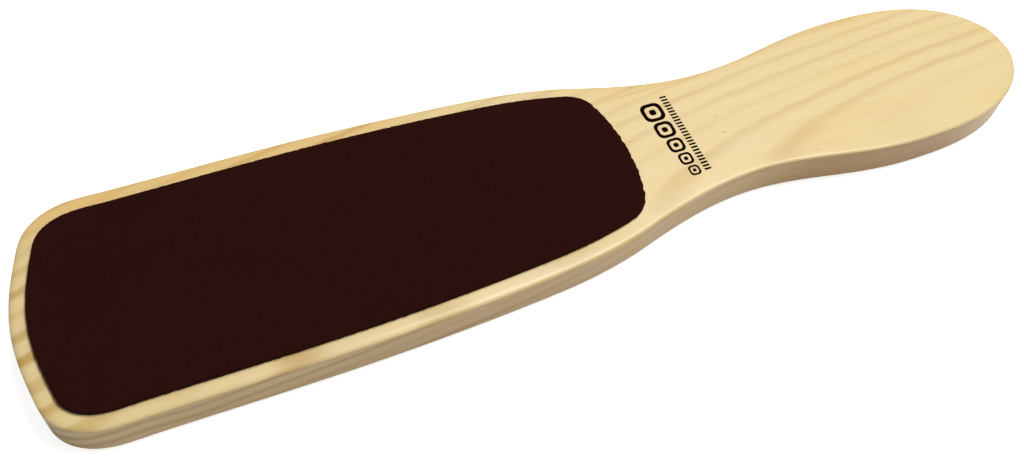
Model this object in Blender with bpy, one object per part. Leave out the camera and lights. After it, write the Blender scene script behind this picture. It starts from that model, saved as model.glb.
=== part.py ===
"""Wooden foot file: a waisted hardwood paddle with a coated-abrasive sheet on each side of its blade.

Metres, +Z up. X runs along the paddle, from the middle of its nose to the end of its handle, and Y
across it. The origin is the middle of the underside, where the back sheet's grit rests.
"""

import math

import bmesh
import bpy
from mathutils import Matrix, Vector
from mathutils.geometry import interpolate_bezier, intersect_line_sphere_2d

MM = 0.001

# Driving dimensions of the paddle.
LENGTH = 250 * MM
WOOD_THICKNESS = 9.2 * MM
NOSE_EDGE = (1.6 * MM, 0.65 * MM)  # the rounded edge's reach across the face and down the side
HANDLE_EDGE = (0.95 * MM, 0.65 * MM)
NECK_AT = 167.5 * MM
EDGE_BLEND_LENGTH = 110 * MM

# One side of the outline, as stations: distance from the nose, distance from the centre line, and
# the direction of the edge there, in degrees from the direction of the handle.
NOSE_TIP = (0 * MM, 0 * MM, 90)
NOSE_FLANK = (2.4 * MM, 15.8 * MM, 75)
NOSE_CORNER = (4.5 * MM, 21.9 * MM, 59)
CORNER_END = (13 * MM, 27.6 * MM, 13)
BLADE_WIDEST = (23.5 * MM, 28.05 * MM, 0)
BLADE_MIDDLE = (78 * MM, 27.8 * MM, -2)
BLADE_TAPER = (113.5 * MM, 25.7 * MM, -5)
SHOULDER = (136.5 * MM, 21.4 * MM, -17)
NECK = (NECK_AT, 15.7 * MM, 0)
HANDLE_FLARE = (188 * MM, 18.1 * MM, 11)
HANDLE_WIDEST = (210 * MM, 20.6 * MM, 0)
HANDLE_TURN = (240 * MM, 15.0 * MM, -30)
HANDLE_CORNER = (248.9 * MM, 5.8 * MM, -63)
HANDLE_END = (LENGTH, 0 * MM, -90)
STATIONS = (
    NOSE_TIP,
    NOSE_FLANK,
    NOSE_CORNER,
    CORNER_END,
    BLADE_WIDEST,
    BLADE_MIDDLE,
    BLADE_TAPER,
    SHOULDER,
    NECK,
    HANDLE_FLARE,
    HANDLE_WIDEST,
    HANDLE_TURN,
    HANDLE_CORNER,
    HANDLE_END,
)
STEPS_BETWEEN_STATIONS = 6
STEPS_ROUND_EDGE = 4
SHARP_EDGE = 40

# Driving dimensions of the two sheets. The front one is stuck down a little off centre and askew.
SHEET_MARGIN = 3.7 * MM
SHEET_END = 140.1 * MM
SHEET_END_RADIUS = 47 * MM
SHEET_CORNER_LENGTH = 4.5 * MM
SHEET_CORNER_REACH = 3.1 * MM  # how far the rounded corner is drawn towards the sharp one
FRONT_SHEET_SHIFT = -0.2 * MM
FRONT_SHEET_TURN = 0.27
FRONT_SHEET_PIVOT = 75 * MM
STEPS_ROUND_END = 10
STEPS_ROUND_CORNER = 6
BACKING_THICKNESS = 0.3 * MM
GRIT_THICKNESS = 0.3 * MM
GLUE_LINE = 0.3 * MM  # the gap that each layer keeps to the one it is stuck to

# Levels, from the underside up.
BACK_GRIT_LOW = 0.0
BACK_BACKING_LOW = BACK_GRIT_LOW + GRIT_THICKNESS + GLUE_LINE
WOOD_LOW = BACK_BACKING_LOW + BACKING_THICKNESS + GLUE_LINE
WOOD_HIGH = WOOD_LOW + WOOD_THICKNESS
FRONT_BACKING_LOW = WOOD_HIGH + GLUE_LINE
FRONT_GRIT_LOW = FRONT_BACKING_LOW + BACKING_THICKNESS + GLUE_LINE


def clear_scene():
    for obj in list(bpy.data.objects):
        bpy.data.objects.remove(obj, do_unlink=True)


def material(name, color, roughness, metallic=0.0):
    made = bpy.data.materials.new(name)
    made.use_nodes = True
    shader = made.node_tree.nodes["Principled BSDF"]
    shader.inputs["Base Color"].default_value = (*color, 1)
    shader.inputs["Roughness"].default_value = roughness
    shader.inputs["Metallic"].default_value = metallic
    return made


def direction(degrees):
    return Vector((math.cos(math.radians(degrees)), math.sin(math.radians(degrees))))


def edge_between(start, end):
    """Points of a curve from one station to just before the next, as near a round arc as it gets."""
    low, high = Vector(start[:2]), Vector(end[:2])
    turn = math.radians(abs(end[2] - start[2]))
    chord = (high - low).length
    reach = chord / 3
    if turn:
        reach = chord * 2 / 3 * math.tan(turn / 4) / math.sin(turn / 2)
    leaving = low + direction(start[2]) * reach
    arriving = high - direction(end[2]) * reach
    return interpolate_bezier(low, leaving, arriving, high, STEPS_BETWEEN_STATIONS + 1)[:-1]


def paddle_side():
    """One side of the paddle's outline, from nose tip to handle end, with the nose tip at x = 0."""
    points = []
    for start, end in zip(STATIONS[:-1], STATIONS[1:]):
        points += edge_between(start, end)
    return points + [Vector(HANDLE_END[:2])]


def whole(side):
    """The closed outline whose other side mirrors this one."""
    return side + [Vector((point.x, -point.y)) for point in reversed(side[1:-1])]


def inward(outline):
    """The unit normal at each point of a closed outline that looks into it."""
    following = outline[1:] + outline[:1]
    previous = outline[-1:] + outline[:-1]
    along = [after - before for before, after in zip(previous, following)]
    return [Vector((step.y, -step.x)).normalized() for step in along]


def sheet_side():
    """One side of a sheet's outline: the paddle's less the margin, ended by a convex arc."""
    centre = Vector((SHEET_END - SHEET_END_RADIUS, 0))
    paddle = paddle_side()
    normals = inward(whole(paddle))
    rim = [point + normal * SHEET_MARGIN for point, normal in zip(paddle, normals)]
    side = [p for p in rim if p.x < centre.x or (p - centre).length < SHEET_END_RADIUS]
    hits = intersect_line_sphere_2d(side[-1], rim[len(side)], centre, SHEET_END_RADIUS)
    corner = next(hit for hit in hits if hit)
    side = [p for p in side if (p - corner).length > SHEET_CORNER_LENGTH]
    widest = math.atan2(corner.y, corner.x - centre.x) - SHEET_CORNER_LENGTH / SHEET_END_RADIUS
    arc = []
    for step in range(STEPS_ROUND_END + 1):
        angle = widest * (1 - step / STEPS_ROUND_END)
        arc.append(centre + SHEET_END_RADIUS * Vector((math.cos(angle), math.sin(angle))))
    leaving = (side[-1] - side[-2]).normalized() * SHEET_CORNER_REACH
    arriving = (arc[1] - arc[0]).normalized() * SHEET_CORNER_REACH
    bend = interpolate_bezier(
        side[-1], side[-1] + leaving, arc[0] - arriving, arc[0], STEPS_ROUND_CORNER + 1
    )
    return side + bend[1:-1] + arc


def square_edge(x):
    """The reach of a sheet's edge across its face and down its side: it is cut square all round."""
    return 0, 0


def sanded_edge(x):
    """The reach of the paddle's edge, which eases from the nose's to the handle's along the blade."""
    share = min(1, max(0, (x - NECK_AT) / EDGE_BLEND_LENGTH + 1))
    eased = share * share * (3 - 2 * share)
    return [nose + (handle - nose) * eased for nose, handle in zip(NOSE_EDGE, HANDLE_EDGE)]


def edge_section(low, high, across, down):
    """The section of a slab's rim, as (inset, height) pairs from the underside to the top."""
    if not across:
        return [(0, low), (0, high)]
    angles = [math.pi / 2 * step / STEPS_ROUND_EDGE for step in range(STEPS_ROUND_EDGE + 1)]
    lower = [(across * (1 - math.sin(a)), low + down * (1 - math.cos(a))) for a in angles]
    upper = [(inset, low + high - height) for inset, height in reversed(lower)]
    return lower + upper


def slab(name, side, low, high, edge_reach, finish):
    """A flat piece between two levels, with this side and its mirror image, whose rim can be round."""
    outline = whole(side)
    normals = inward(outline)
    sections = [edge_section(low, high, *edge_reach(point.x)) for point in outline]
    form = bmesh.new()
    rings = []
    for level in zip(*sections):
        ring = []
        for point, normal, (inset, height) in zip(outline, normals, level):
            place = point + normal * inset
            ring.append(form.verts.new((place.x - LENGTH / 2, place.y, height)))
        rings.append(ring)
    for lower, upper in zip(rings[:-1], rings[1:]):
        for here, there in zip(range(-1, len(outline) - 1), range(len(outline))):
            form.faces.new((lower[here], upper[here], upper[there], lower[there]))
    form.faces.new(rings[0])
    form.faces.new(rings[-1][::-1])
    mesh = bpy.data.meshes.new(name)
    form.to_mesh(mesh)
    form.free()
    mesh.materials.append(finish)
    mesh.shade_smooth()
    mesh.set_sharp_from_angle(angle=math.radians(SHARP_EDGE))
    piece = bpy.data.objects.new(name, mesh)
    bpy.context.collection.objects.link(piece)
    return piece


def abrasive_sheet(side, backing_low, grit_low, cloth, grit):
    """The two bonded layers of one sheet: the cloth next to the wood and the grit coat on it."""
    cut = sheet_side()
    backing_high = backing_low + BACKING_THICKNESS
    grit_high = grit_low + GRIT_THICKNESS
    return (
        slab(f"{side}_backing", cut, backing_low, backing_high, square_edge, cloth),
        slab(f"{side}_grit_coat", cut, grit_low, grit_high, square_edge, grit),
    )


def set_askew(layers):
    """Turns the layers of the front sheet about its middle and shifts them off the centre line."""
    turn = Matrix.Rotation(math.radians(FRONT_SHEET_TURN), 4, "Z")
    pivot = Vector((FRONT_SHEET_PIVOT - LENGTH / 2, 0, 0))
    shifted = Matrix.Translation(pivot + Vector((0, FRONT_SHEET_SHIFT, 0)))
    for layer in layers:
        layer.matrix_world = shifted @ turn @ Matrix.Translation(-pivot)


def main():
    clear_scene()
    wood = material("pale_hardwood", (0.68, 0.46, 0.22), 0.45)
    cloth = material("dark_cloth", (0.045, 0.02, 0.016), 0.9)
    grit = material("oxblood_grit", (0.03, 0.009, 0.007), 0.85)
    slab("paddle_body", paddle_side(), WOOD_LOW, WOOD_HIGH, sanded_edge, wood)
    set_askew(abrasive_sheet("front", FRONT_BACKING_LOW, FRONT_GRIT_LOW, cloth, grit))
    abrasive_sheet("back", BACK_BACKING_LOW, BACK_GRIT_LOW, cloth, grit)


main()
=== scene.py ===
"""The looks of a wooden foot file: a pale hardwood paddle with a dark abrasive sheet on each side.

Everything is in metres in the row frame: X along the paddle, from the nose of its blade to the end of
its handle, Y across it, Z up, with the middle of the underside at the origin.
"""

import math
import random

import bmesh
import bpy
from mathutils import Matrix, Vector, noise
from mathutils.geometry import delaunay_2d_cdt, interpolate_bezier, intersect_line_sphere_2d
from mathutils.kdtree import KDTree


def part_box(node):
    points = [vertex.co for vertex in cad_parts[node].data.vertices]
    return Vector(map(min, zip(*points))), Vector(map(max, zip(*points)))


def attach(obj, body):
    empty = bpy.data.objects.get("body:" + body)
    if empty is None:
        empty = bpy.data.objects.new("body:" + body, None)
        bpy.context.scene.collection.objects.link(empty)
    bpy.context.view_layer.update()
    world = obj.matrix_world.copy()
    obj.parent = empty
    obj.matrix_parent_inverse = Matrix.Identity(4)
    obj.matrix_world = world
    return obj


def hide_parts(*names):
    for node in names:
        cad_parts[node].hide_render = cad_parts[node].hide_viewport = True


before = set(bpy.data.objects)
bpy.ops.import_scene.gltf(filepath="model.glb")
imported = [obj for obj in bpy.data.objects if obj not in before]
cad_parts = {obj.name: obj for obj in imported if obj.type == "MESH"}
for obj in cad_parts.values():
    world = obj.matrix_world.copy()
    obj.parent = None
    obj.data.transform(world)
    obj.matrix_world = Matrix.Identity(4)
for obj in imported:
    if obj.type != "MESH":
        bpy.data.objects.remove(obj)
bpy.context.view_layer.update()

MM = 0.001

# The paddle, as the CAD has it. Stations: distance from the nose, distance from the centre line, and
# the direction of the edge there, in degrees from the direction of the handle.
LENGTH = 250 * MM
NOSE_EDGE = (1.6 * MM, 0.65 * MM)  # the rounded edge's reach across the face and down the side
HANDLE_EDGE = (0.95 * MM, 0.65 * MM)
NECK_AT = 167.5 * MM
EDGE_BLEND_LENGTH = 110 * MM
STATIONS = (
    (0 * MM, 0 * MM, 90),
    (2.4 * MM, 15.8 * MM, 75),
    (4.5 * MM, 21.9 * MM, 59),
    (13 * MM, 27.6 * MM, 13),
    (23.5 * MM, 28.05 * MM, 0),
    (78 * MM, 27.8 * MM, -2),
    (113.5 * MM, 25.7 * MM, -5),
    (136.5 * MM, 21.4 * MM, -17),
    (NECK_AT, 15.7 * MM, 0),
    (188 * MM, 18.1 * MM, 11),
    (210 * MM, 20.6 * MM, 0),
    (240 * MM, 15.0 * MM, -30),
    (248.9 * MM, 5.8 * MM, -63),
    (LENGTH, 0 * MM, -90),
)
STEPS_BETWEEN_STATIONS = 14
STEPS_ROUND_EDGE = 10
STEPS_UP_SIDE = 4
SHARES_ACROSS = (0, 0.18, 0.36, 0.52, 0.66, 0.78, 0.87, 0.94, 1)
SANDING_DEPTH = 0.05 * MM
SANDING_PITCH = 22 * MM

# The two sheets.
SHEET_MARGIN = 3.7 * MM
SHEET_END = 140.1 * MM
SHEET_END_RADIUS = 47 * MM
SHEET_CORNER_LENGTH = 4.5 * MM
SHEET_CORNER_REACH = 3.1 * MM  # how far the rounded corner is drawn towards the sharp one
FRONT_SHEET_SHIFT = -0.2 * MM
FRONT_SHEET_TURN = 0.27
FRONT_SHEET_PIVOT = 75 * MM
STEPS_ROUND_END = 40
STEPS_ROUND_CORNER = 14
CUT_STEP = 0.4 * MM
RAG_PITCH = 1.3 * MM
RAG_DEPTH = 0.10 * MM
END_RAG_DEPTH = 0.26 * MM
RAG_GROWS_OVER = 14 * MM
FINE_RAG_PITCH = 0.5 * MM
FINE_RAG_DEPTH = 0.06 * MM
FINE_RAG_PLANE = 9  # keeps the fine nibbles' noise apart from the bites'
GRIT_BITE = 1.15  # the grit's edge is bitten this much deeper than the cloth's
CONTACT_GAP = 0.01 * MM
MERGE_DISTANCE = 0.001 * MM
SHARP_EDGE = 60

# The grains of both grit coats. Each seed fixes one coat's random draws or one edge's noise.
GRAIN_PITCH = 0.62 * MM
GRAIN_JITTER = 0.16 * MM
GRAIN_CLEARANCE = 0.26 * MM
GRAIN_TOPS = (0, 0.45)  # how deep below the worn face, as shares of the grain height
GRAIN_HOLLOWS = (0.75, 1)
COARSE_GRAIN_HEIGHT = 0.2 * MM
FINE_GRAIN_HEIGHT = 0.11 * MM
FRONT_CUT_SEED = 3
FRONT_GRAIN_SEED = 11
BACK_CUT_SEED = 7
BACK_GRAIN_SEED = 12


def direction(degrees):
    return Vector((math.cos(math.radians(degrees)), math.sin(math.radians(degrees))))


def edge_between(start, end, steps):
    """Points of a curve from one station to just before the next, as near a round arc as it gets."""
    low, high = Vector(start[:2]), Vector(end[:2])
    turn = math.radians(abs(end[2] - start[2]))
    chord = (high - low).length
    reach = chord / 3
    if turn:
        reach = chord * 2 / 3 * math.tan(turn / 4) / math.sin(turn / 2)
    leaving = low + direction(start[2]) * reach
    arriving = high - direction(end[2]) * reach
    return interpolate_bezier(low, leaving, arriving, high, steps + 1)[:-1]


def paddle_side():
    """One side of the paddle's outline, from nose tip to handle end, with the nose tip at x = 0."""
    points = []
    for start, end in zip(STATIONS[:-1], STATIONS[1:]):
        points += edge_between(start, end, STEPS_BETWEEN_STATIONS)
    return points + [Vector(STATIONS[-1][:2])]


def whole(side):
    """The closed outline whose other side mirrors this one."""
    return side + [Vector((point.x, -point.y)) for point in reversed(side[1:-1])]


def inward(outline):
    """The unit normal at each point of a closed outline that looks into it."""
    following = outline[1:] + outline[:1]
    previous = outline[-1:] + outline[:-1]
    along = [after - before for before, after in zip(previous, following)]
    return [Vector((step.y, -step.x)).normalized() for step in along]


def sheet_side():
    """One side of a sheet's outline: the paddle's less the margin, ended by a convex arc."""
    centre = Vector((SHEET_END - SHEET_END_RADIUS, 0))
    paddle = paddle_side()
    normals = inward(whole(paddle))
    rim = [point + normal * SHEET_MARGIN for point, normal in zip(paddle, normals)]
    side = [p for p in rim if p.x < centre.x or (p - centre).length < SHEET_END_RADIUS]
    hits = intersect_line_sphere_2d(side[-1], rim[len(side)], centre, SHEET_END_RADIUS)
    corner = next(hit for hit in hits if hit)
    side = [p for p in side if (p - corner).length > SHEET_CORNER_LENGTH]
    widest = math.atan2(corner.y, corner.x - centre.x) - SHEET_CORNER_LENGTH / SHEET_END_RADIUS
    arc = []
    for step in range(STEPS_ROUND_END + 1):
        angle = widest * (1 - step / STEPS_ROUND_END)
        arc.append(centre + SHEET_END_RADIUS * Vector((math.cos(angle), math.sin(angle))))
    leaving = (side[-1] - side[-2]).normalized() * SHEET_CORNER_REACH
    arriving = (arc[1] - arc[0]).normalized() * SHEET_CORNER_REACH
    bend = interpolate_bezier(
        side[-1], side[-1] + leaving, arc[0] - arriving, arc[0], STEPS_ROUND_CORNER + 1
    )
    return side + bend[1:-1] + arc


def eased(share):
    share = min(1, max(0, share))
    return share * share * (3 - 2 * share)


def edge_reach(x):
    """The reach of the paddle's edge, which eases from the nose's to the handle's along the blade."""
    share = eased((x - NECK_AT) / EDGE_BLEND_LENGTH + 1)
    return [nose + (handle - nose) * share for nose, handle in zip(NOSE_EDGE, HANDLE_EDGE)]


def new_piece(name, form, finish):
    """Makes the object of a finished mesh, which rides on the frame and takes its finish."""
    mesh = bpy.data.meshes.new(name)
    form.to_mesh(mesh)
    form.free()
    mesh.materials.append(finish)
    piece = bpy.data.objects.new(name, mesh)
    bpy.context.scene.collection.objects.link(piece)
    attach(piece, "root")
    return piece


# ---------------------------------------------------------------- paddle


def half_section(point, normal, low, high):
    """The section of the paddle's near half at a point of its outline, from below to above."""
    across, down = edge_reach(point.x)
    inner = point + normal * across
    section = [(inner.x, inner.y * share, low) for share in SHARES_ACROSS[:-1]]
    for step in range(STEPS_ROUND_EDGE + 1):
        angle = math.pi / 2 * step / STEPS_ROUND_EDGE
        place = point + normal * across * (1 - math.sin(angle))
        section.append((place.x, place.y, low + down * (1 - math.cos(angle))))
    bottom, top = low + down, high - down
    for step in range(1, STEPS_UP_SIDE):
        section.append((point.x, point.y, bottom + (top - bottom) * step / STEPS_UP_SIDE))
    rising = section[: len(SHARES_ACROSS) + STEPS_ROUND_EDGE]
    return section + [(x, y, low + high - z) for x, y, z in reversed(rising)]


def sanded(form):
    """Lets the surface swell and sink by a few hundredths of a millimetre, as hand sanding leaves it."""
    form.normal_update()
    shifts = [noise.noise(vert.co / SANDING_PITCH) * SANDING_DEPTH for vert in form.verts]
    moves = [vert.normal * shift for vert, shift in zip(form.verts, shifts)]
    for vert, move in zip(form.verts, moves):
        vert.co += move


def make_paddle(finish):
    low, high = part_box("paddle_body")
    side = paddle_side()
    normals = inward(whole(side))
    form = bmesh.new()
    rows = []
    for point, normal in zip(side, normals):
        half = half_section(point, normal, low.z, high.z)
        ring = half + [(x, -y, z) for x, y, z in reversed(half[1:-1])]
        rows.append([form.verts.new((x - LENGTH / 2, y, z)) for x, y, z in ring])
    for near, far in zip(rows[:-1], rows[1:]):
        for here in range(len(near)):
            there = (here + 1) % len(near)
            form.faces.new((near[here], far[here], far[there], near[there]))
    bmesh.ops.remove_doubles(form, verts=form.verts, dist=MERGE_DISTANCE)
    bmesh.ops.recalc_face_normals(form, faces=form.faces)
    sanded(form)
    piece = new_piece("paddle", form, finish)
    piece.data.shade_smooth()
    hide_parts("paddle_body")


# ---------------------------------------------------------------- sheets


def resampled(outline, step):
    """The closed outline again, with its points a set distance apart."""
    points = [outline[0]]
    left = step
    for start, end in zip(outline, outline[1:] + outline[:1]):
        length = (end - start).length
        place = left
        while place < length:
            points.append(start.lerp(end, place / length))
            place += step
        left = place - length
    return points


def ragged(outline, seed, depth_share=1):
    """The outline as shears leave it in gritty cloth, nibbled most where it ends at the neck."""
    cut = []
    for index, (point, normal) in enumerate(zip(outline, inward(outline))):
        along = index * CUT_STEP
        share = eased((point.x - SHEET_END) / RAG_GROWS_OVER + 1)
        depth = RAG_DEPTH + (END_RAG_DEPTH - RAG_DEPTH) * share
        bite = depth * noise.noise((along / RAG_PITCH, seed, 0))
        nibble = FINE_RAG_DEPTH * noise.noise((along / FINE_RAG_PITCH, seed, FINE_RAG_PLANE))
        cut.append(point + normal * (bite + nibble) * depth_share)
    return cut


def askew(points):
    """Turns the front sheet about its middle and shifts it off the centre line."""
    turn = Matrix.Rotation(math.radians(FRONT_SHEET_TURN), 2)
    pivot = Vector((FRONT_SHEET_PIVOT, 0))
    shift = Vector((0, FRONT_SHEET_SHIFT))
    return [turn @ (point - pivot) + pivot + shift for point in points]


def make_backing(name, node, cut, low, high, finish):
    """The cloth of a sheet, flat between two levels."""
    form = bmesh.new()
    lower = [form.verts.new((point.x - LENGTH / 2, point.y, low)) for point in cut]
    upper = [form.verts.new((point.x - LENGTH / 2, point.y, high)) for point in cut]
    for here, there in zip(range(-1, len(cut) - 1), range(len(cut))):
        form.faces.new((lower[here], upper[here], upper[there], lower[there]))
    form.faces.new(lower)
    form.faces.new(upper[::-1])
    bmesh.ops.recalc_face_normals(form, faces=form.faces)
    piece = new_piece(name, form, finish)
    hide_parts(node)


def inside(cut, clearance):
    """A test of whether a point lies in the outline, at least the clearance away from it."""
    tree = KDTree(len(cut))
    for index, point in enumerate(cut):
        tree.insert((point.x, point.y, 0), index)
    tree.balance()
    normals = inward(cut)

    def test(x, y):
        nearest, index, distance = tree.find((x, y, 0))
        away = Vector((x - nearest.x, y - nearest.y))
        return distance > clearance and away.dot(normals[index]) > 0

    return test


def grain_points(cut, chance):
    """The tops of the grains and the hollows between them, jittered on a triangular lattice."""
    lies_in = inside(cut, GRAIN_CLEARANCE)
    row_height = GRAIN_PITCH * math.sqrt(3) / 2
    low_x, high_x = min(p.x for p in cut), max(p.x for p in cut)
    low_y, high_y = min(p.y for p in cut), max(p.y for p in cut)
    spots = ((0, 0, True), (GRAIN_PITCH / 2, row_height / 3, False))
    spots += ((GRAIN_PITCH, row_height * 2 / 3, False),)
    found = []
    for row in range(int((high_y - low_y) / row_height) + 1):
        for column in range(int((high_x - low_x) / GRAIN_PITCH) + 2):
            for along, across, is_top in spots:
                x = low_x + (column + row % 2 / 2) * GRAIN_PITCH + along
                y = low_y + row * row_height + across
                x += chance.uniform(-1, 1) * GRAIN_JITTER
                y += chance.uniform(-1, 1) * GRAIN_JITTER
                if lies_in(x, y):
                    found.append((Vector((x, y)), is_top))
    return found


def grit_face(form, cut, worn_side, relief, chance):
    """The rough side of a grit coat: triangles between its edge, its hollows and its grains."""
    grains = grain_points(cut, chance)
    flat = list(cut) + [place for place, is_top in grains]
    made = delaunay_2d_cdt(flat, [], [range(len(cut))], 1, MERGE_DISTANCE / 10)
    verts = []
    for place, origin in zip(made[0], made[3]):
        source = origin[0] if origin else 0
        depth = 1
        if source >= len(cut):
            is_top = grains[source - len(cut)][1]
            depth = chance.uniform(*(GRAIN_TOPS if is_top else GRAIN_HOLLOWS))
        verts.append(form.verts.new((place.x - LENGTH / 2, place.y, worn_side - relief * depth)))
    for triangle in made[2]:
        form.faces.new([verts[index] for index in triangle])


def make_grit(name, node, cut, levels, grain_height, seed, finish):
    """The resin coat with its grains, which rise from near the backing to the worn side."""
    backing_side, worn_side = levels
    relief = math.copysign(grain_height, worn_side - backing_side)
    form = bmesh.new()
    grit_face(form, cut, worn_side, relief, random.Random(seed))
    rim = [edge for edge in form.edges if edge.is_boundary]
    down = bmesh.ops.extrude_edge_only(form, edges=rim)
    for item in down["geom"]:
        if isinstance(item, bmesh.types.BMVert):
            item.co.z = backing_side
    foot = [edge for edge in form.edges if edge.is_boundary]
    bmesh.ops.contextual_create(form, geom=foot)
    bmesh.ops.recalc_face_normals(form, faces=form.faces)
    piece = new_piece(name, form, finish)
    piece.data.shade_smooth()
    piece.data.set_sharp_from_angle(angle=math.radians(SHARP_EDGE))
    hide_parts(node)


def make_sheet(side, lay, wood_face, worn_face, seeds, grain_height, finishes):
    """One sheet: its cloth against the wood, and its grit coat from there out to its worn face."""
    cut_seed, grain_seed = seeds
    cloth_finish, grit_finish = finishes
    outline = resampled(whole(sheet_side()), CUT_STEP)
    gap = math.copysign(CONTACT_GAP, worn_face - wood_face)
    middle = (wood_face + worn_face) / 2
    low, high = sorted((wood_face + gap, middle))
    cut = lay(ragged(outline, cut_seed))
    make_backing(f"{side}_cloth", f"{side}_backing", cut, low, high, cloth_finish)
    cut = lay(ragged(outline, cut_seed, GRIT_BITE))
    levels = (middle + gap, worn_face)
    make_grit(f"{side}_grit", f"{side}_grit_coat", cut, levels, grain_height, grain_seed, grit_finish)


def make_sheets(cloth_finish, coarse, fine):
    wood_low, wood_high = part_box("paddle_body")
    front_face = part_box("front_grit_coat")[1].z
    back_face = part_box("back_grit_coat")[0].z
    seeds = (FRONT_CUT_SEED, FRONT_GRAIN_SEED)
    finishes = (cloth_finish, coarse)
    make_sheet("front", askew, wood_high.z, front_face, seeds, COARSE_GRAIN_HEIGHT, finishes)
    seeds = (BACK_CUT_SEED, BACK_GRAIN_SEED)
    finishes = (cloth_finish, fine)
    make_sheet("back", list, wood_low.z, back_face, seeds, FINE_GRAIN_HEIGHT, finishes)


# ---------------------------------------------------------------- printed mark

INK_THICKNESS = 0.02 * MM
MARK_FOOT = 154.1 * MM
MARK_TOP = 10.6 * MM
MARK_GAP = 0.55 * MM
COARSE_SIEVE = (5.5 * MM, 4.8 * MM, 4.1 * MM, 3.4 * MM, 2.8 * MM)  # the sizes of the openings
FINE_SIEVE = (3.4 * MM, 2.8 * MM, 2.3 * MM)
STROKE_SHARE = 0.17  # these three are shares of an opening's size
GRAIN_SHARE = 0.3
CORNER_SHARE = 0.32
STEPS_ROUND_MARK = 6
RULE_AT = 155.9 * MM
TICK = 1.7 * MM
TICK_WIDTH = 0.5 * MM
TICK_PITCH = 0.95 * MM
TICKS = 25


def rounded_square(centre, size):
    """Points round a square that has round corners."""
    radius = size * CORNER_SHARE
    reach = size / 2 - radius
    points = []
    for quarter in range(4):
        corner = centre + direction(90 * quarter + 45) * reach * math.sqrt(2)
        for step in range(STEPS_ROUND_MARK + 1):
            points.append(corner + direction(90 * (quarter + step / STEPS_ROUND_MARK)) * radius)
    return points


def loop_at(form, outline, level):
    """The closed loop of an outline's points at one level."""
    return [form.verts.new((p.x - LENGTH / 2, p.y, level)) for p in outline]


def band(form, first, second):
    """Faces between two closed loops that run alike."""
    for here, there in zip(range(-1, len(first) - 1), range(len(first))):
        form.faces.new((first[here], first[there], second[there], second[here]))


def film(form, outline, low, high):
    """A thin raised film of ink."""
    lower = loop_at(form, outline, low)
    upper = loop_at(form, outline, high)
    band(form, lower, upper)
    form.faces.new(upper)
    form.faces.new(lower[::-1])


def framed_film(form, outer, inner, low, high):
    """A thin raised film of ink that runs round an opening."""
    outer_low, outer_high = loop_at(form, outer, low), loop_at(form, outer, high)
    inner_low, inner_high = loop_at(form, inner, low), loop_at(form, inner, high)
    band(form, outer_low, outer_high)
    band(form, outer_high, inner_high)
    band(form, inner_high, inner_low)
    band(form, inner_low, outer_low)


def make_mark(name, sieve, low, high, finish):
    """A grade mark: sieve openings with a grain in each, from coarse to fine, over a rule of ticks."""
    form = bmesh.new()
    top = MARK_TOP
    for size in sieve:
        centre = Vector((MARK_FOOT - size / 2, top - size / 2))
        outer = rounded_square(centre, size)
        inner = rounded_square(centre, size * (1 - 2 * STROKE_SHARE))
        framed_film(form, outer, inner, low, high)
        film(form, rounded_square(centre, size * GRAIN_SHARE), low, high)
        top -= size + MARK_GAP
    corners = ((-1, -1), (1, -1), (1, 1), (-1, 1))
    for index in range(TICKS):
        across = TICK_PITCH * ((TICKS - 1) / 2 - index)
        tick = [Vector((RULE_AT + x * TICK / 2, across + y * TICK_WIDTH / 2)) for x, y in corners]
        film(form, tick, low, high)
    bmesh.ops.recalc_face_normals(form, faces=form.faces)
    new_piece(name, form, finish)


def make_marks(finish):
    wood_low, wood_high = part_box("paddle_body")
    low, high = wood_high.z - CONTACT_GAP, wood_high.z + INK_THICKNESS
    make_mark("front_mark", COARSE_SIEVE, low, high, finish)
    low, high = wood_low.z - INK_THICKNESS, wood_low.z + CONTACT_GAP
    make_mark("back_mark", FINE_SIEVE, low, high, finish)


# ---------------------------------------------------------------- materials


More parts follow.
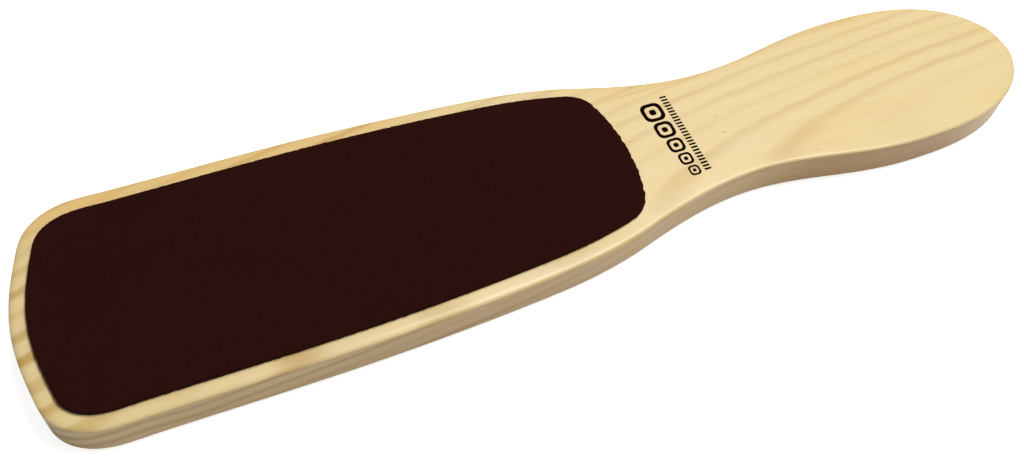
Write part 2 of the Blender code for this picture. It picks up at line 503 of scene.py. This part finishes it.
class Nodes:
    """A material's node tree, with short ways to add to it."""

    def __init__(self, name):
        self.material = bpy.data.materials.new(name)
        self.material.use_nodes = True
        self.tree = self.material.node_tree
        self.shader = self.tree.nodes["Principled BSDF"]

    def give(self, socket, value):
        """Feeds an input with a socket or sets it to a value."""
        if isinstance(value, bpy.types.NodeSocket):
            self.tree.links.new(value, socket)
        else:
            socket.default_value = value

    def shade(self, **values):
        """Sets or feeds the shader's inputs, named with underscores for spaces."""
        for name, value in values.items():
            self.give(self.shader.inputs[name.replace("_", " ")], value)

    def add(self, kind, *values, **settings):
        """Adds a node with these settings, and gives its first inputs these values."""
        node = self.tree.nodes.new(kind)
        for key, value in settings.items():
            setattr(node, key, value)
        for socket, value in zip(node.inputs, values):
            if value is not None:
                self.give(socket, value)
        return node

    def math(self, operation, *values):
        return self.add("ShaderNodeMath", *values, operation=operation).outputs[0]

    def product(self, first, *others):
        for other in others:
            first = self.math("MULTIPLY", first, other)
        return first

    def polynomial(self, value, coefficients):
        """A polynomial of a value, whose coefficients start with the constant one."""
        total = coefficients[-1]
        for coefficient in reversed(coefficients[:-1]):
            total = self.math("MULTIPLY_ADD", total, value, coefficient)
        return total

    def step(self, value, low, high, out_low=0.0, out_high=1.0):
        """A smooth step of a value from one level to another."""
        node = self.add("ShaderNodeMapRange", interpolation_type="SMOOTHSTEP")
        for key, number in zip(node.inputs, (value, low, high, out_low, out_high)):
            self.give(key, number)
        return node.outputs[0]

    def window(self, value, rise, fall):
        """One between a rise and a fall of a value, each a pair of levels, and zero beyond them."""
        return self.product(self.step(value, *rise), self.step(value, *fall, 1, 0))

    def place(self, scale):
        """Places on the object, in units of 1 / scale metres along each axis."""
        coordinates = self.add("ShaderNodeTexCoord").outputs["Object"]
        return self.add("ShaderNodeVectorMath", coordinates, scale, operation="MULTIPLY").outputs[0]

    def noise(self, scale, detail=2.0, roughness=0.5):
        """Smooth noise from 0 to 1, with its own scale along each axis."""
        node = self.add("ShaderNodeTexNoise")
        self.give(node.inputs["Vector"], self.place(scale))
        node.inputs["Scale"].default_value = 1
        node.inputs["Detail"].default_value = detail
        node.inputs["Roughness"].default_value = roughness
        return node.outputs["Fac"]

    def swing(self, scale, reach):
        """Smooth noise from -reach to reach."""
        return self.math("MULTIPLY_ADD", self.noise(scale), 2 * reach, -reach)

    def grey(self, level):
        return self.add("ShaderNodeCombineColor", level, level, level).outputs[0]

    def mixed(self, share, first, second, blend="MIX"):
        """One colour blended with another, as far as the share says."""
        node = self.add("ShaderNodeMix", data_type="RGBA", blend_type=blend)
        self.give(node.inputs[0], share)
        self.give(node.inputs[6], first)
        self.give(node.inputs[7], second)
        return node.outputs[2]

    def tinted(self, color, share, tint):
        """A colour multiplied by a tint, as far as the share says."""
        return self.mixed(share, color, tint, "MULTIPLY")


# ---------------------------------------------------------------- wood

# Tints multiply the cream of the wood. Places are in millimetres: x from the middle of the paddle
# towards its handle, y across it and z up. A pair of numbers is where a smooth change starts and ends,
# a noise has its waves per metre along each axis, and a span is the levels of it that matter.
CREAM = (0.69, 0.535, 0.263, 1)
STRAW_TINT = (1.0, 0.985, 0.90, 1)
GOLD_TINT = (1.0, 0.88, 0.70, 1)
# A duller streak, partly the wood's own and partly painted shade that dims the highlight on the -Y edge.
STREAK_AND_SHADE_TINT = (0.90, 0.87, 0.80, 1)
RING_TINT = (0.71, 0.585, 0.35, 1)
# The next two tints are painted shade on the sides, the second one deeper round the waist.
SIDE_SHADE_TINT = (0.91, 0.81, 0.74, 1)
WAIST_SHADE_TINT = (0.82, 0.72, 0.60, 1)
PORE_TINT = (0.75, 0.68, 0.60, 1)
FLECK_TINT = (0.5, 0.38, 0.24, 1)
HALF_LENGTH = LENGTH / 2 / MM

# The growth rings. The first three are polynomials of x / HALF_LENGTH.
PITH_ACROSS = (-18.5, 9.3, -5.3)
PITH_DEPTH = (22.8, -14.0)
RING_WIDTH = (3.66, 0.18)
RINGS_IN_PITH = 1.33
BROAD_WAVER = ((28, 55, 55), 0.9)  # a noise and how far it moves the rings
FINE_WAVER = ((130, 200, 200), 0.5)
CORNER_START = -16
CORNER_BEND = 0.064  # how many rings each millimetre beyond the corner's start takes off
CORNER_FADE = (-108, -90)
FIRST_RING = 4
RING_STRENGTHS = (
    (0.2, 0.25, 1.0, 1.0, 0.45, 0.8, 0.9, 0.7)
    + (0.8, 0.6, 1.0, 0.8, 0.3, 0.9, 0.5, 0.25)
    + (0.2, 0.4, 0.5, 0.4)
)

# The stripe of each ring, by the distance from the ring in ring widths.
STRIPE_RISE = (-0.34, -0.02)
STRIPE_FALL = (0.02, 0.22)
NOSE_STRIPE_RISE = (-0.42, -0.12)
NOSE_STRIPE_FADE = (-110, -70)
BLADE_STRIPE_FADE = (-70, 10)
HANDLE_STRIPE_STRENGTH = 0.42
STRIPE_NOISE = (35, 240, 240)
STRIPE_SPAN = (0.3, 0.7)
LEAST_STRIPE = 0.7

# Warmer wood: the blade's +Y margin, the handle's +Y edge, and soft patches. Patches and flecks are
# ovals: x, y, half length, half width. A patch has its strength with it.
GOLD_RIM = (16, 24)
GOLD_RIM_END = (-40, -25)
RIM_NOISE = (30, 200, 200)
RIM_SPAN = (0.3, 0.6)
LEAST_RIM = 0.7
HANDLE_GOLD_FROM = (12.5, 16.5)
HANDLE_GOLD_WIDENS = (50, 75)
HANDLE_GOLD_WIDTH = 3
HANDLE_GOLD_START = (5, 25)
HANDLE_GOLD_STRENGTH = 0.45
GOLD_PATCHES = (((22.5, -12.0, 7.5, 3.4), 0.6), ((-2.0, -21.8, 12.0, 1.8), 0.6))
GOLD_PATCHES += (((62.0, -11.5, 10.0, 5.5), 0.45), ((79.0, -9.5, 22.0, 3.5), 0.3))
PATCH_NOISE = (90, 300, 300)
PATCH_SPAN = (0.3, 0.65)
LEAST_PATCH = 0.2
OVAL_EDGE = 1.2

# Straw-coloured blotches all over, and a duller streak along the blade's -Y margin, partly painted shade.
STRAW_NOISE = (25, 110, 110)
STRAW_SPAN = (0.38, 0.64)
STREAK_AND_SHADE_RISE = (-35, -5)
STREAK_AND_SHADE_FALL = (8, 26)
STREAK_AND_SHADE_ACROSS = (-21.5, -18.5)

# The sides get painted shade, least at the nose and at the handle's end and most round the waist,
# where the cut fibres also show the most pores. The slope is the upward part of the surface's normal.
SIDE_SLOPE = (0.3, 0.75)
NOSE_SIDE = (-115, -40)
NOSE_SIDE_STRENGTH = 0.55
END_SIDE = (90, 115)
END_SIDE_STRENGTH = 0.5
WAIST_RISE = (35, 60)
WAIST_FALL = (85, 110)
PORE_NOISE = (260, 2200, 2200)
PORE_SPAN = (0.66, 0.74)
LEAST_PORES = 0.2

# Fine fibres all over, and a few dark flecks on the front face.
FIBRE_NOISE = (45, 1500, 1500)
FIBRE_SPAN = (0.35, 0.65)
FIBRE_TONES = (0.972, 1.012)
FIBRE_BUMP = 0.2
FIBRE_HEIGHT = 0.03 * MM
FLECKS = ((40.3, 1.7, 0.9, 0.16), (40.0, -3.3, 0.8, 0.2), (58.6, -15.3, 0.8, 0.16))
FLECKS += ((16.9, 1.6, 0.4, 0.2), (112.0, 2.9, 0.8, 0.15), (26.0, 15.0, 10.0, 0.12))
FLECK_STRENGTH = 0.6
FLECK_CORE = 0.2
FLECK_LEVELS = (-0.4, 0.1)  # from the top face


def ring_number(nodes, x, y, z, top):
    """How many growth rings lie between the pith, which runs below the board, and a place in it."""
    along = nodes.math("DIVIDE", x, HALF_LENGTH)
    waver = nodes.math("ADD", nodes.swing(*BROAD_WAVER), nodes.swing(*FINE_WAVER))
    across = nodes.math("SUBTRACT", y, nodes.polynomial(along, PITH_ACROSS))
    across = nodes.math("ADD", across, waver)
    depth = nodes.math("ADD", nodes.polynomial(along, PITH_DEPTH), z)
    depth = nodes.math("SUBTRACT", depth, top)
    radius = nodes.math("ADD", nodes.math("POWER", across, 2), nodes.math("POWER", depth, 2))
    radius = nodes.math("SQRT", radius)
    rings = nodes.math("DIVIDE", radius, nodes.polynomial(along, RING_WIDTH))
    rings = nodes.math("ADD", rings, RINGS_IN_PITH)
    corner = nodes.math("MAXIMUM", nodes.math("SUBTRACT", CORNER_START, y), 0)
    corner = nodes.product(corner, nodes.step(x, *CORNER_FADE, CORNER_BEND, 0))
    return nodes.math("SUBTRACT", rings, corner)


def ring_strength(nodes, rings):
    """How dark each ring is drawn, by its number."""
    ramp = nodes.add("ShaderNodeValToRGB")
    ramp.color_ramp.interpolation = "CONSTANT"
    count = len(RING_STRENGTHS)
    for index, strength in enumerate(RING_STRENGTHS):
        stops = ramp.color_ramp.elements
        stop = stops[index] if index < 1 else stops.new(index / count)
        stop.position = index / count
        stop.color = (strength, strength, strength, 1)
    number = nodes.math("ADD", nodes.math("ROUND", rings), 0.5 - FIRST_RING)
    nodes.give(ramp.inputs[0], nodes.math("DIVIDE", number, count))
    return nodes.add("ShaderNodeSeparateColor", ramp.outputs[0]).outputs[0]


def stripe_share(nodes, x, rings):
    """The dark late wood of each ring, broad on the nose and faint on the handle."""
    off = nodes.math("SUBTRACT", rings, nodes.math("ROUND", rings))
    broad = nodes.product(nodes.step(off, *NOSE_STRIPE_RISE), nodes.step(x, *NOSE_STRIPE_FADE, 1, 0))
    rise = nodes.math("MAXIMUM", nodes.step(off, *STRIPE_RISE), broad)
    fall = nodes.step(off, *STRIPE_FALL, 1, 0)
    along = nodes.step(x, *BLADE_STRIPE_FADE, 1, HANDLE_STRIPE_STRENGTH)
    fade = nodes.step(nodes.noise(STRIPE_NOISE, detail=3.0), *STRIPE_SPAN, LEAST_STRIPE, 1)
    return nodes.product(rise, fall, ring_strength(nodes, rings), along, fade)


def oval(nodes, x, y, place, core):
    """An oval spot that fades from its core outwards."""
    at_x, at_y, long, wide = place
    far_x = nodes.math("DIVIDE", nodes.math("SUBTRACT", x, at_x), long)
    far_y = nodes.math("DIVIDE", nodes.math("SUBTRACT", y, at_y), wide)
    far = nodes.math("ADD", nodes.math("POWER", far_x, 2), nodes.math("POWER", far_y, 2))
    return nodes.step(far, core, OVAL_EDGE, 1, 0)


def gold_share(nodes, x, y):
    """Where the wood is warmer."""
    rim = nodes.product(nodes.step(y, *GOLD_RIM), nodes.step(x, *GOLD_RIM_END, 1, 0))
    gold = nodes.product(rim, nodes.step(nodes.noise(RIM_NOISE), *RIM_SPAN, LEAST_RIM, 1))
    past = nodes.math("SUBTRACT", y, nodes.step(x, *HANDLE_GOLD_WIDENS, *HANDLE_GOLD_FROM))
    edge = nodes.step(past, 0, HANDLE_GOLD_WIDTH)
    edge = nodes.product(edge, nodes.step(x, *HANDLE_GOLD_START, 0, HANDLE_GOLD_STRENGTH))
    gold = nodes.math("MAXIMUM", gold, edge)
    uneven = nodes.step(nodes.noise(PATCH_NOISE), *PATCH_SPAN, LEAST_PATCH, 1)
    for place, strength in GOLD_PATCHES:
        patch = nodes.product(oval(nodes, x, y, place, 0), strength, uneven)
        gold = nodes.math("MAXIMUM", gold, patch)
    return gold


def side_share(nodes):
    """One on the sides and zero on the faces, by the slope of the surface."""
    normal = nodes.add("ShaderNodeTexCoord").outputs["Normal"]
    level = nodes.math("ABSOLUTE", nodes.add("ShaderNodeSeparateXYZ", normal).outputs[2])
    return nodes.step(level, *SIDE_SLOPE, 1, 0)


def on_faces(nodes, color, x, y, side):
    """The colour with the blotches and warm places that the faces have, and a duller streak, partly
    painted shade.
    """
    color = nodes.tinted(color, nodes.step(nodes.noise(STRAW_NOISE), *STRAW_SPAN), STRAW_TINT)
    color = nodes.tinted(color, gold_share(nodes, x, y), GOLD_TINT)
    # The streak is partly painted shade that dims the highlight on the blade's -Y edge.
    streak_and_shade = nodes.product(nodes.window(x, STREAK_AND_SHADE_RISE, STREAK_AND_SHADE_FALL), nodes.step(y, *STREAK_AND_SHADE_ACROSS, 1, 0))
    streak_and_shade = nodes.product(streak_and_shade, nodes.math("SUBTRACT", 1, side))
    return nodes.tinted(color, streak_and_shade, STREAK_AND_SHADE_TINT)


def on_sides(nodes, color, x, side):
    """The colour with painted shade on the sides, deepest round the waist, and the pores that the sides
    have.
    """
    # Painted shade: the sides darker by their slope, less so at the nose and the handle's end, more round
    # the waist.
    shaded = nodes.product(side, nodes.step(x, *NOSE_SIDE, NOSE_SIDE_STRENGTH, 1))
    shaded = nodes.product(shaded, nodes.step(x, *END_SIDE, 1, END_SIDE_STRENGTH))
    color = nodes.tinted(color, shaded, SIDE_SHADE_TINT)
    waist = nodes.product(nodes.window(x, WAIST_RISE, WAIST_FALL), side)
    color = nodes.tinted(color, waist, WAIST_SHADE_TINT)
    pores = nodes.step(nodes.noise(PORE_NOISE, detail=1.0), *PORE_SPAN)
    often = nodes.math("MULTIPLY_ADD", waist, 1 - LEAST_PORES, LEAST_PORES)
    return nodes.tinted(color, nodes.product(pores, often, side), PORE_TINT)


def flecked(nodes, color, x, y, z, top):
    """The colour with the few dark flecks of the front face."""
    low, high = [top + level for level in FLECK_LEVELS]
    on_top = nodes.step(z, low, high, 0, FLECK_STRENGTH)
    for place in FLECKS:
        mark = nodes.product(oval(nodes, x, y, place, FLECK_CORE), on_top)
        color = nodes.tinted(color, mark, FLECK_TINT)
    return color


def make_wood():
    """Pale ash: growth rings round a pith below the board, fine fibres, pores, painted shade on the sides
    and a satin lacquer.
    """
    nodes = Nodes("pale_ash")
    place = nodes.add("ShaderNodeSeparateXYZ", nodes.place((1 / MM, 1 / MM, 1 / MM))).outputs
    x, y, z = place[0], place[1], place[2]
    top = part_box("paddle_body")[1].z / MM
    side = side_share(nodes)
    color = on_faces(nodes, CREAM, x, y, side)
    color = nodes.tinted(color, stripe_share(nodes, x, ring_number(nodes, x, y, z, top)), RING_TINT)
    # Paints shade onto the sides.
    color = on_sides(nodes, color, x, side)
    fibres = nodes.noise(FIBRE_NOISE, detail=3.0, roughness=0.6)
    color = nodes.tinted(color, 1, nodes.grey(nodes.step(fibres, *FIBRE_SPAN, *FIBRE_TONES)))
    color = flecked(nodes, color, x, y, z, top)
    bump = nodes.add("ShaderNodeBump")
    bump.inputs["Strength"].default_value = FIBRE_BUMP
    bump.inputs["Distance"].default_value = FIBRE_HEIGHT
    nodes.give(bump.inputs["Height"], fibres)
    nodes.shade(Base_Color=color, Normal=bump.outputs["Normal"])
    nodes.shade(Roughness=0.5, Coat_Weight=0.3, Coat_Roughness=0.2)
    return nodes.material


# ---------------------------------------------------------------- cloth, grit and ink

CLOTH_COLORS = ((0.03, 0.009, 0.007, 1), (0.05, 0.018, 0.014, 1))
THREAD_SCALE = 900
GRIT_COLORS = ((0.0190, 0.0041, 0.0030, 1), (0.0224, 0.0047, 0.0034, 1))
BLOTCH_NOISE = (60, 90, 60)
BLOTCH_SPAN = (0.3, 0.7)
GRAIN_TONES = (0.97, 1.03)
COARSE_GRAIN_SCALE = 1500
FINE_GRAIN_SCALE = 3500
INK_COLORS = ((0.003, 0.0006, 0.0003, 1), (0.008, 0.002, 0.001, 1))
WEAR_NOISE = (900, 4000, 4000)
WEAR_SPAN = (0.25, 0.75)


def make_cloth():
    nodes = Nodes("resin_filled_cloth")
    threads = nodes.add("ShaderNodeTexWave", bands_direction="X")
    nodes.give(threads.inputs["Vector"], nodes.place((1, 1, 1)))
    threads.inputs["Scale"].default_value = THREAD_SCALE
    color = nodes.mixed(threads.outputs["Fac"], *CLOTH_COLORS)
    nodes.shade(Base_Color=color, Roughness=0.95, Specular_IOR_Level=0.1)
    return nodes.material


def make_grit_finish(name, grain_scale):
    """Dark resin with faint red blotches, and grains that differ a little in tone."""
    nodes = Nodes(name)
    blotch = nodes.step(nodes.noise(BLOTCH_NOISE, detail=4.0, roughness=0.6), *BLOTCH_SPAN)
    cells = nodes.add("ShaderNodeTexVoronoi")
    nodes.give(cells.inputs["Vector"], nodes.place((1, 1, 1)))
    cells.inputs["Scale"].default_value = grain_scale
    level = nodes.add("ShaderNodeSeparateColor", cells.outputs["Color"]).outputs[0]
    tone = nodes.grey(nodes.step(level, 0, 1, *GRAIN_TONES))
    color = nodes.tinted(nodes.mixed(blotch, *GRIT_COLORS), 1, tone)
    nodes.shade(Base_Color=color, Roughness=0.9, Specular_IOR_Level=0.03)
    return nodes.material


def make_ink():
    nodes = Nodes("printing_ink")
    wear = nodes.step(nodes.noise(WEAR_NOISE), *WEAR_SPAN)
    color = nodes.mixed(wear, *INK_COLORS)
    nodes.shade(Base_Color=color, Roughness=0.6, Specular_IOR_Level=0)
    return nodes.material


# ---------------------------------------------------------------- studio

FLOOR_RADIUS = 3.0
FLOOR_SEGMENTS = 96
FLOOR_COLOR = (0.8, 0.8, 0.82, 1)
FLOOR_GLOW = 0.8
LIGHT_PLACE = (0.5, 0.12, 1.3)
LIGHT_SIZE = (0.9, 0.55)
LIGHT_POWER = 21.8
WORLD_LIGHT = 0.2
WORLD_SEEN = 1.0
WHITE = (1, 1, 1, 1)
CAMERA_PLACE = (-0.08231, -0.12509, 0.20909)
CAMERA_AZIMUTH = -22.65
CAMERA_ELEVATION = 50.05
CAMERA_ROLL = 2.93
CAMERA_LENS = 37.304
CAMERA_SENSOR = 36
CAMERA_SHIFT = (0.0592, -0.1292)
NEAREST_SEEN = 0.01


def make_floor():
    form = bmesh.new()
    bmesh.ops.create_circle(form, cap_ends=True, segments=FLOOR_SEGMENTS, radius=FLOOR_RADIUS)
    mesh = bpy.data.meshes.new("floor")
    form.to_mesh(mesh)
    form.free()
    nodes = Nodes("white_floor")
    seen = nodes.add("ShaderNodeLightPath").outputs["Is Camera Ray"]
    nodes.shade(Base_Color=FLOOR_COLOR, Roughness=1, Specular_IOR_Level=0)
    nodes.shade(Emission_Color=WHITE, Emission_Strength=nodes.product(seen, FLOOR_GLOW))
    mesh.materials.append(nodes.material)
    floor = bpy.data.objects.new("floor", mesh)
    bpy.context.scene.collection.objects.link(floor)


def make_light():
    """A soft box overhead, which looks at the origin."""
    data = bpy.data.lights.new("overhead", "AREA")
    data.shape = "RECTANGLE"
    data.size, data.size_y = LIGHT_SIZE
    data.energy = LIGHT_POWER
    lamp = bpy.data.objects.new("overhead", data)
    lamp.location = LIGHT_PLACE
    lamp.rotation_euler = (-Vector(LIGHT_PLACE)).to_track_quat("-Z", "Y").to_euler()
    bpy.context.scene.collection.objects.link(lamp)


def make_world():
    """White surroundings, which light the object less than they shine."""
    world = bpy.data.worlds.new("studio")
    world.use_nodes = True
    tree = world.node_tree
    seen = tree.nodes.new("ShaderNodeLightPath").outputs["Is Camera Ray"]
    strength = tree.nodes.new("ShaderNodeMapRange")
    strength.inputs["To Min"].default_value = WORLD_LIGHT
    strength.inputs["To Max"].default_value = WORLD_SEEN
    tree.links.new(seen, strength.inputs["Value"])
    back = tree.nodes["Background"]
    back.inputs["Color"].default_value = WHITE
    tree.links.new(strength.outputs["Result"], back.inputs["Strength"])
    bpy.context.scene.world = world


def make_camera():
    data = bpy.data.cameras.new("camera")
    data.sensor_width = CAMERA_SENSOR
    data.lens = CAMERA_LENS
    data.shift_x, data.shift_y = CAMERA_SHIFT
    data.clip_start = NEAREST_SEEN
    camera = bpy.data.objects.new("camera", data)
    turned = Matrix.Rotation(math.radians(CAMERA_AZIMUTH), 4, "Z")
    turned @= Matrix.Rotation(math.radians(90 - CAMERA_ELEVATION), 4, "X")
    turned @= Matrix.Rotation(math.radians(CAMERA_ROLL), 4, "Z")
    camera.matrix_world = Matrix.Translation(CAMERA_PLACE) @ turned
    bpy.context.scene.collection.objects.link(camera)
    bpy.context.scene.camera = camera


def main():
    make_paddle(make_wood())
    coarse = make_grit_finish("coarse_grit", COARSE_GRAIN_SCALE)
    fine = make_grit_finish("fine_grit", FINE_GRAIN_SCALE)
    make_sheets(make_cloth(), coarse, fine)
    make_marks(make_ink())
    make_floor()
    make_light()
    make_world()
    make_camera()
    bpy.context.scene.view_settings.view_transform = "Standard"


main()
